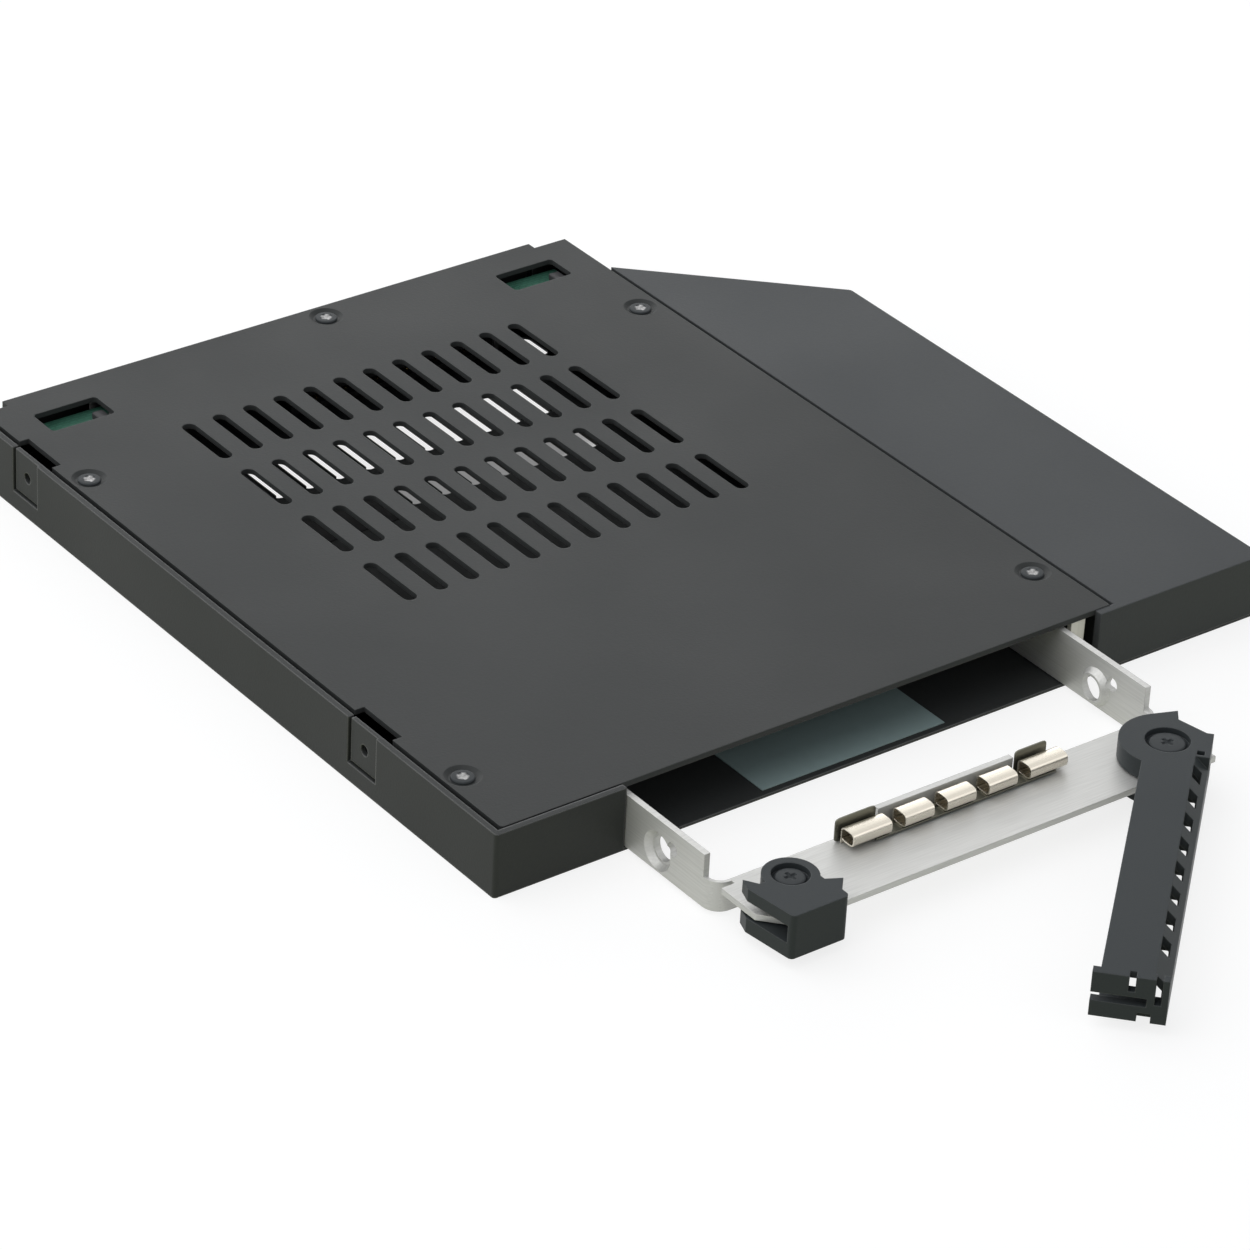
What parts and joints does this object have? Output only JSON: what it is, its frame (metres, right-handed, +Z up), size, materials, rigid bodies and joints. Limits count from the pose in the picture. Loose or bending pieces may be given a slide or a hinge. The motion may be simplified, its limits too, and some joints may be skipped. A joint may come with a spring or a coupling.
{
  "type": "laptop drive caddy",
  "caption": "Slim optical-bay housing with a slotted cover and a removable 2.5 inch drive tray that slides out of its front, with an ejector lever and a latch.",
  "frame": {"origin": "centre of the housing's flat underside", "axes": "+Z up through the cover, -Y out of the mouth the way the tray slides, +X towards the wing"},
  "size_m": [0.128, 0.1947, 0.0095],
  "materials": {
    "case_paint": "fine matte texture",
    "wing_plastic": "fine matte texture",
    "screw_black": "black oxide",
    "post_steel": "plain",
    "rail_steel": "plain",
    "strike_steel": "plain",
    "board_green": "solder mask",
    "connector_black": "moulded",
    "contact_gold": "plated",
    "pad_sheet": "smooth",
    "tray_aluminium": "satin",
    "finger_nickel": "satin",
    "bush_brass": "plain",
    "lever_plastic": "moulded",
    "spring_steel": "plain"
  },
  "bodies": {
    "housing": {"bottom_case": "case_paint", "top_cover": "case_paint", "wing_shell": "wing_plastic", "cover_screws": "screw_black", "cover_posts": "post_steel", "left_rail": "rail_steel", "right_rail": "rail_steel", "eject_strike": "strike_steel", "backplane_pcb": "board_green", "board_posts": "post_steel", "board_screws": "post_steel", "drive_receptacle": "connector_black", "drive_contacts": "contact_gold", "host_plug": "connector_black", "host_contacts": "contact_gold", "floor_pad": "pad_sheet"},
    "tray": {"tray_frame": "tray_aluminium", "finger_strip": "finger_nickel", "lever_bush": "bush_brass", "lever_screw": "screw_black", "latch_bush": "bush_brass", "latch_screw": "screw_black", "latch_spring": "spring_steel"},
    "lever": {"ejector_lever": "lever_plastic"},
    "latch": {"latch_block": "lever_plastic"}
  },
  "joints": [
    {"name": "tray_slide", "type": "slide", "parent": "housing", "child": "tray", "axis": [0, -1, 0], "range_m": [-0.0326, 0.08]},
    {"name": "lever_swing", "type": "hinge", "parent": "tray", "child": "lever", "pos_m": [0.02328, -0.09005, 0.005], "axis": [0, 0, 1], "range_deg": [-43, 27]},
    {"name": "latch_rock", "type": "hinge", "parent": "tray", "child": "latch", "pos_m": [-0.03703, -0.0881, 0.005], "axis": [0, 0, -1], "range_deg": [0, 8], "stiffness_Nm_per_rad": 0.01}
  ]
}
